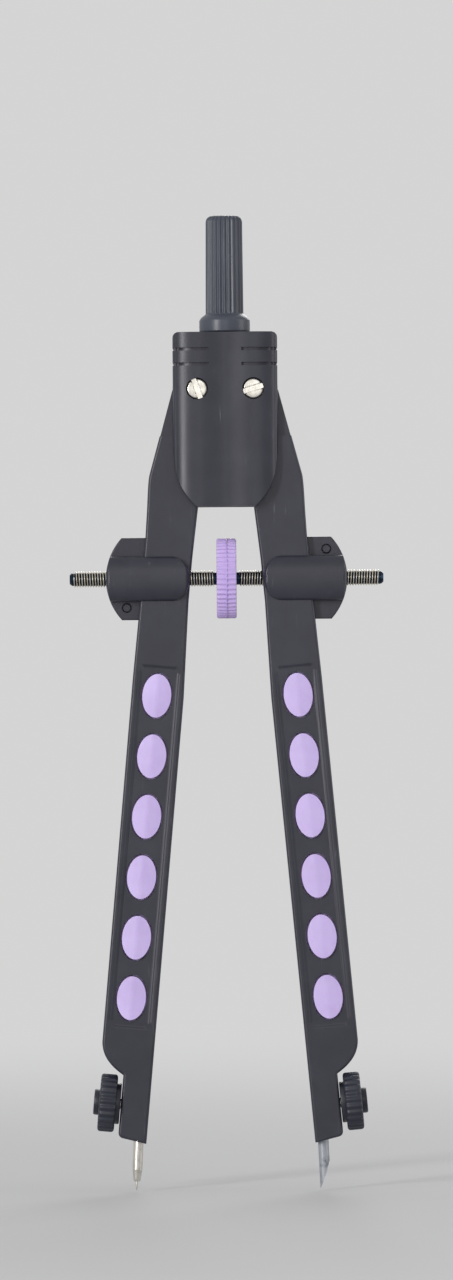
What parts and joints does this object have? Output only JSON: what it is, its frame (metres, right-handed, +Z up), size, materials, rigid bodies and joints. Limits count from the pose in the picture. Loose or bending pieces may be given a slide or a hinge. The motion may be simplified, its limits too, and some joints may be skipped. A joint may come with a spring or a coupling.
{
  "type": "drawing compass",
  "caption": "Quick-set bow compass: geared legs in a two-shell head, threaded spindle with centre wheel, press-release nut housings, clamped needle and lead.",
  "frame": {"origin": "on the paper, midway between the legs, at the height of the needle's tip", "axes": "+Z up along the handle, X across the legs along the spindle, the front with the screw heads faces -Y"},
  "size_m": [0.0588, 0.0152, 0.1826],
  "materials": {
    "black_body": "satin moulded black",
    "handle_plastic": "fluted satin moulding",
    "knob_plastic": "ribbed satin moulding",
    "lilac_inlay": "soft lilac moulding",
    "lilac_wheel": "ribbed lilac moulding",
    "bright_steel": "bright turned steel",
    "spindle_steel": "rolled thread, blued",
    "brass": "machined",
    "nylon": "natural nylon",
    "graphite": "sharpened lead"
  },
  "bodies": {
    "head": {"handle": "handle_plastic", "handle_stud": "bright_steel", "head_front_shell": "black_body", "head_rear_shell": "black_body", "pivot_screw_left": "bright_steel", "pivot_screw_right": "bright_steel", "pivot_sleeve_left": "bright_steel", "pivot_sleeve_right": "bright_steel", "friction_washer_front_left": "nylon", "friction_washer_rear_left": "nylon", "friction_washer_front_right": "nylon", "friction_washer_rear_right": "nylon"},
    "leg_left": {"leg_left": "black_body", "grip_inlay_left": "lilac_inlay", "clamp_bolt_left": "bright_steel"},
    "knob_left": {"clamp_knob_left": "knob_plastic"},
    "needle": {"needle": "bright_steel"},
    "block_left": {"swivel_block_left": "brass", "release_spring_left": "bright_steel"},
    "jaw_left": {"threaded_jaw_left": "bright_steel"},
    "housing_left": {"release_housing_front_left": "black_body", "release_housing_rear_left": "black_body"},
    "leg_right": {"leg_right": "black_body", "grip_inlay_right": "lilac_inlay", "clamp_bolt_right": "bright_steel"},
    "knob_right": {"clamp_knob_right": "knob_plastic"},
    "lead": {"lead": "graphite"},
    "block_right": {"swivel_block_right": "brass", "release_spring_right": "bright_steel"},
    "jaw_right": {"threaded_jaw_right": "bright_steel"},
    "housing_right": {"release_housing_front_right": "black_body", "release_housing_rear_right": "black_body"},
    "spindle": {"spindle_rod": "spindle_steel"},
    "wheel": {"centre_wheel": "lilac_wheel"}
  },
  "joints": [
    {"name": "leg_left_swing", "type": "hinge", "parent": "head", "child": "leg_left", "pos_m": [-0.00525, 0, 0.1501], "axis": [0, 1, 0], "range_deg": [-6, 27]},
    {"name": "block_left_swivel", "type": "hinge", "parent": "leg_left", "child": "block_left", "pos_m": [-0.01123, 0, 0.11464], "axis": [0, -1, 0], "range_deg": [-6, 27]},
    {"name": "release_left_press", "type": "slide", "parent": "block_left", "child": "housing_left", "axis": [1, 0, 0], "range_m": [0, 0.001], "stiffness_N_per_m": 600, "springref_m": -0.0015, "deforming": ["release_spring_left"]},
    {"name": "jaw_left_lift", "type": "slide", "parent": "block_left", "child": "jaw_left", "axis": [0, 0, -1], "range_m": [0, 0.00045]},
    {"name": "clamp_knob_left_turn", "type": "hinge", "parent": "leg_left", "child": "knob_left", "pos_m": [-0.02302, 0, 0.01651], "axis": [-0.9958, 0, 0.0912], "range_deg": [0, 540]},
    {"name": "needle_slide", "type": "slide", "parent": "leg_left", "child": "needle", "axis": [-0.0454, 0, -0.999], "range_m": [-0.001, 0.012]},
    {"name": "leg_right_swing", "type": "hinge", "parent": "head", "child": "leg_right", "pos_m": [0.00525, 0, 0.1501], "axis": [0, -1, 0], "range_deg": [-6, 27]},
    {"name": "block_right_swivel", "type": "hinge", "parent": "leg_right", "child": "block_right", "pos_m": [0.01123, 0, 0.11464], "axis": [0, 1, 0], "range_deg": [-6, 27]},
    {"name": "release_right_press", "type": "slide", "parent": "block_right", "child": "housing_right", "axis": [-1, 0, 0], "range_m": [0, 0.001], "stiffness_N_per_m": 600, "springref_m": -0.0015, "deforming": ["release_spring_right"]},
    {"name": "jaw_right_lift", "type": "slide", "parent": "block_right", "child": "jaw_right", "axis": [0, 0, 1], "range_m": [0, 0.00045]},
    {"name": "clamp_knob_right_turn", "type": "hinge", "parent": "leg_right", "child": "knob_right", "pos_m": [0.02302, 0, 0.01651], "axis": [0.9958, 0, 0.0912], "range_deg": [0, 540]},
    {"name": "lead_slide", "type": "slide", "parent": "leg_right", "child": "lead", "axis": [0.0454, 0, -0.999], "range_m": [-0.001, 0.012]},
    {"name": "spindle_slide", "type": "slide", "parent": "block_left", "child": "spindle", "axis": [1, 0, 0], "range_m": [-0.0036, 0.0159]},
    {"name": "wheel_turn", "type": "hinge", "parent": "spindle", "child": "wheel", "pos_m": [0, 0, 0.11464], "axis": [1, 0, 0], "range_deg": [-2540, 11400]}
  ],
  "couplings": [
    {"joint": "block_left_swivel", "follows": "leg_left_swing", "ratio": 1},
    {"joint": "jaw_left_lift", "follows": "release_left_press", "ratio": 0.45},
    {"joint": "leg_right_swing", "follows": "leg_left_swing", "ratio": 1},
    {"joint": "block_right_swivel", "follows": "leg_left_swing", "ratio": 1},
    {"joint": "jaw_right_lift", "follows": "release_right_press", "ratio": 0.45},
    {"joint": "spindle_slide", "follows": "leg_left_swing", "m_per_rad": 0.0335},
    {"joint": "wheel_turn", "follows": "leg_left_swing", "ratio": 420.97}
  ]
}
